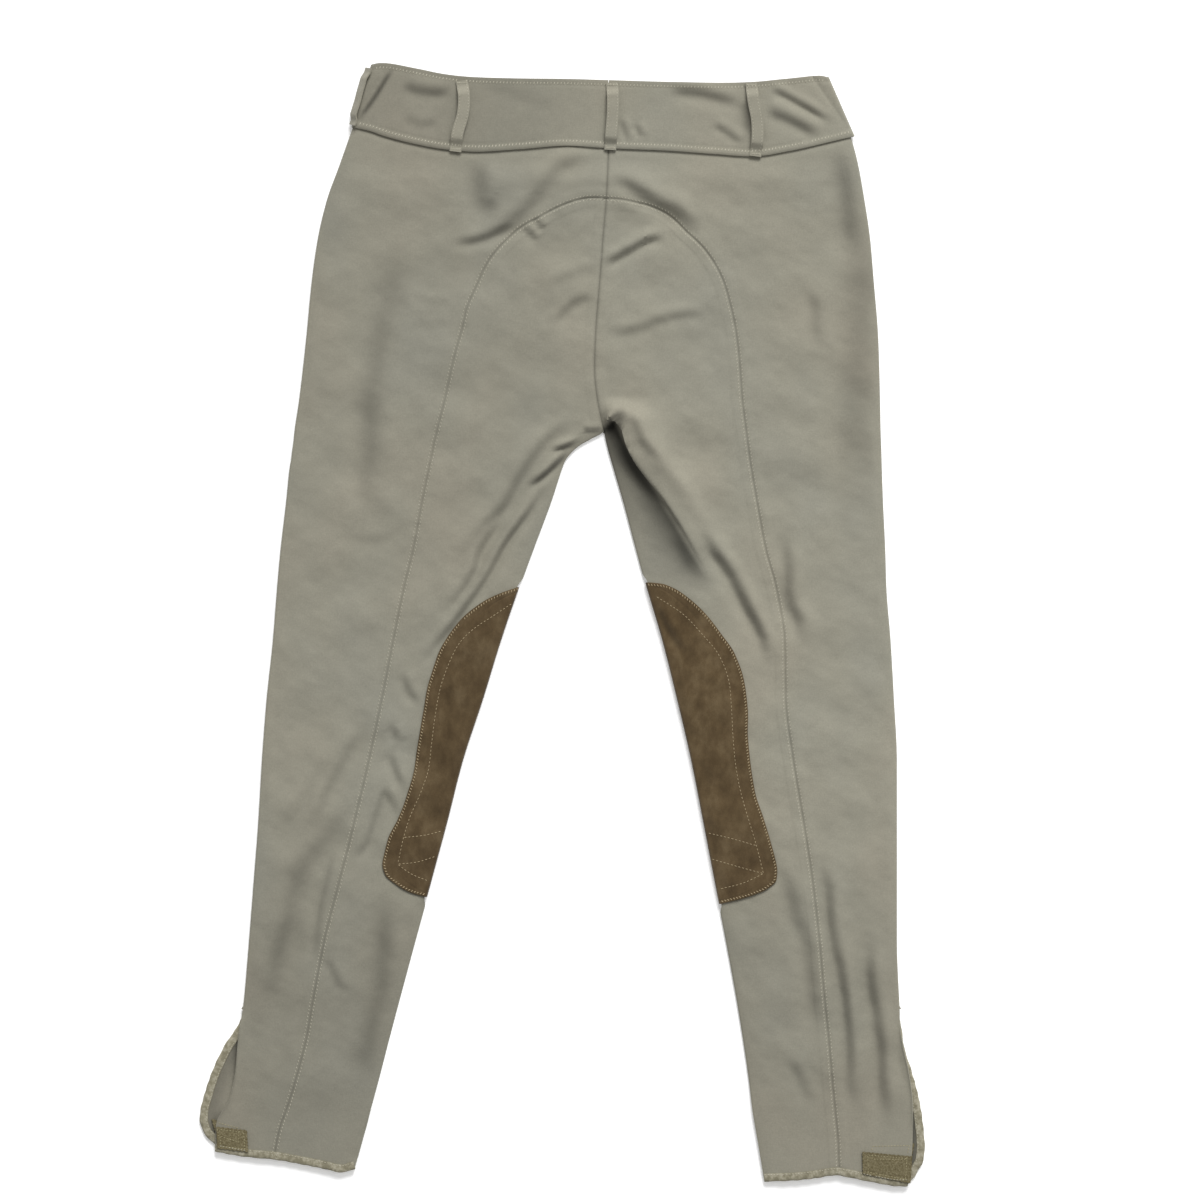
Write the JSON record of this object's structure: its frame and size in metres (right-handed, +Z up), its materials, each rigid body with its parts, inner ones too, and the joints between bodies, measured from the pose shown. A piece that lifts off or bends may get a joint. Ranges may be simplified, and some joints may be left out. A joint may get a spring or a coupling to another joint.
{
  "type": "riding breeches",
  "caption": "Riding breeches lying flat, back side up: contoured waistband with belt loops, curved seat seams, suede knee patches and vented, tape-bound ankles",
  "frame": {"origin": "centre of the bounding box, on the surface that the breeches lie on", "axes": "+Y from the hems to the waist, +X towards the wearer's right leg (the breeches lie back side up), +Z up"},
  "size_m": [0.6235, 0.9647, 0.0152],
  "materials": {
    "breeches_cloth": "fine khaki-olive stretch twill, matte with a soft sheen",
    "patch_suede": "brown suede with a short nap",
    "hem_tape": "lighter ribbed elastic binding tape",
    "fastening_tape": "olive-brown hook-and-loop tape"
  },
  "bodies": {
    "root": {"front_left": "breeches_cloth", "front_right": "breeches_cloth", "seat_left": "breeches_cloth", "seat_right": "breeches_cloth", "waistband_left": "breeches_cloth", "waistband_right": "breeches_cloth", "fly_flap": "breeches_cloth", "belt_loop_back_left": "breeches_cloth", "belt_loop_back_centre": "breeches_cloth", "belt_loop_back_right": "breeches_cloth", "belt_loop_front_left": "breeches_cloth", "belt_loop_front_right": "breeches_cloth", "knee_patch_left": "patch_suede", "knee_patch_right": "patch_suede", "hem_tape_front_left": "hem_tape", "hem_tape_front_right": "hem_tape", "hem_tape_back_left": "hem_tape", "hem_tape_back_right": "hem_tape", "ankle_tab_left": "fastening_tape", "ankle_tab_right": "fastening_tape", "flap_strip_left": "fastening_tape", "flap_strip_right": "fastening_tape"}
  },
  "joints": []
}
